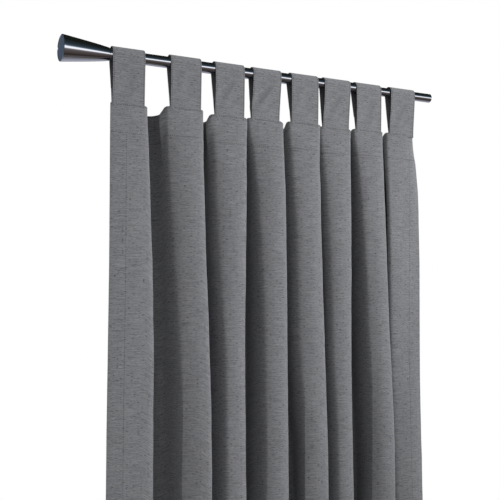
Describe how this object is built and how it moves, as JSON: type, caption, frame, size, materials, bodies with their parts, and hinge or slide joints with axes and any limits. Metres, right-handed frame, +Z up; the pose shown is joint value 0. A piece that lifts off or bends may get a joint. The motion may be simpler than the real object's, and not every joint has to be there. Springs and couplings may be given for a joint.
{
  "type": "tab-top curtain panel",
  "caption": "Fabric curtain panel that hangs in soft pleats from sewn tabs on a telescopic metal pole with a flared finial at one end.",
  "frame": {"origin": "on the pole's axis, where the finial's neck ends and the left bracket takes the pole", "axes": "+X along the pole from the finial to the open end, +Z up, the room on the -Y side"},
  "size_m": [0.839, 0.075, 1.6123],
  "materials": {
    "cloth": "slubbed plain weave, matt",
    "chrome": "bright chrome plate",
    "end_disc": "satin blue-grey",
    "screw": "blackened steel",
    "label": "smooth satin tape"
  },
  "bodies": {
    "pole": {"pole_outer_tube": "chrome"},
    "pole_extension": {"pole_inner_tube": "chrome"},
    "finial": {"finial_body": "chrome", "finial_end_disc": "end_disc", "finial_grub_screw": "screw"},
    "pleat_1": {"tab_1": "cloth", "panel_pleat_1": "cloth", "header_facing_1": "cloth", "bottom_hem_1": "cloth", "side_hem_left": "cloth", "care_label": "label", "panel_fold_1": "cloth"},
    "pleat_2": {"tab_2": "cloth", "panel_pleat_2": "cloth", "header_facing_2": "cloth", "bottom_hem_2": "cloth", "panel_fold_2": "cloth"},
    "pleat_3": {"tab_3": "cloth", "panel_pleat_3": "cloth", "header_facing_3": "cloth", "bottom_hem_3": "cloth", "panel_fold_3": "cloth"},
    "pleat_4": {"tab_4": "cloth", "panel_pleat_4": "cloth", "header_facing_4": "cloth", "bottom_hem_4": "cloth", "panel_fold_4": "cloth"},
    "pleat_5": {"tab_5": "cloth", "panel_pleat_5": "cloth", "header_facing_5": "cloth", "bottom_hem_5": "cloth", "panel_fold_5": "cloth"},
    "pleat_6": {"tab_6": "cloth", "panel_pleat_6": "cloth", "header_facing_6": "cloth", "bottom_hem_6": "cloth", "panel_fold_6": "cloth"},
    "pleat_7": {"tab_7": "cloth", "panel_pleat_7": "cloth", "header_facing_7": "cloth", "bottom_hem_7": "cloth", "panel_fold_7": "cloth"},
    "pleat_8": {"tab_8": "cloth", "panel_pleat_8": "cloth", "header_facing_8": "cloth", "bottom_hem_8": "cloth", "side_hem_right": "cloth"}
  },
  "joints": [
    {"name": "pole_extend", "type": "slide", "parent": "pole", "child": "pole_extension", "axis": [1, 0, 0], "range_m": [0, 0.4]},
    {"name": "finial_pull_off", "type": "slide", "parent": "pole", "child": "finial", "axis": [-1, 0, 0], "range_m": [0, 0.06]},
    {"name": "pleat_1_slide", "type": "slide", "parent": "pole", "child": "pleat_1", "axis": [1, 0, 0], "range_m": [0, 0.04]},
    {"name": "pleat_2_slide", "type": "slide", "parent": "pleat_1", "child": "pleat_2", "axis": [1, 0, 0], "range_m": [-0.0297, 0], "deforming": ["panel_fold_1"]},
    {"name": "pleat_3_slide", "type": "slide", "parent": "pleat_2", "child": "pleat_3", "axis": [1, 0, 0], "range_m": [-0.0165, 0], "deforming": ["panel_fold_2"]},
    {"name": "pleat_4_slide", "type": "slide", "parent": "pleat_3", "child": "pleat_4", "axis": [1, 0, 0], "range_m": [-0.0105, 0], "deforming": ["panel_fold_3"]},
    {"name": "pleat_5_slide", "type": "slide", "parent": "pleat_4", "child": "pleat_5", "axis": [1, 0, 0], "range_m": [-0.0129, 0], "deforming": ["panel_fold_4"]},
    {"name": "pleat_6_slide", "type": "slide", "parent": "pleat_5", "child": "pleat_6", "axis": [1, 0, 0], "range_m": [-0.0081, 0], "deforming": ["panel_fold_5"]},
    {"name": "pleat_7_slide", "type": "slide", "parent": "pleat_6", "child": "pleat_7", "axis": [1, 0, 0], "range_m": [-0.0075, 0], "deforming": ["panel_fold_6"]},
    {"name": "pleat_8_slide", "type": "slide", "parent": "pleat_7", "child": "pleat_8", "axis": [1, 0, 0], "range_m": [-0.0141, 0], "deforming": ["panel_fold_7"]}
  ]
}
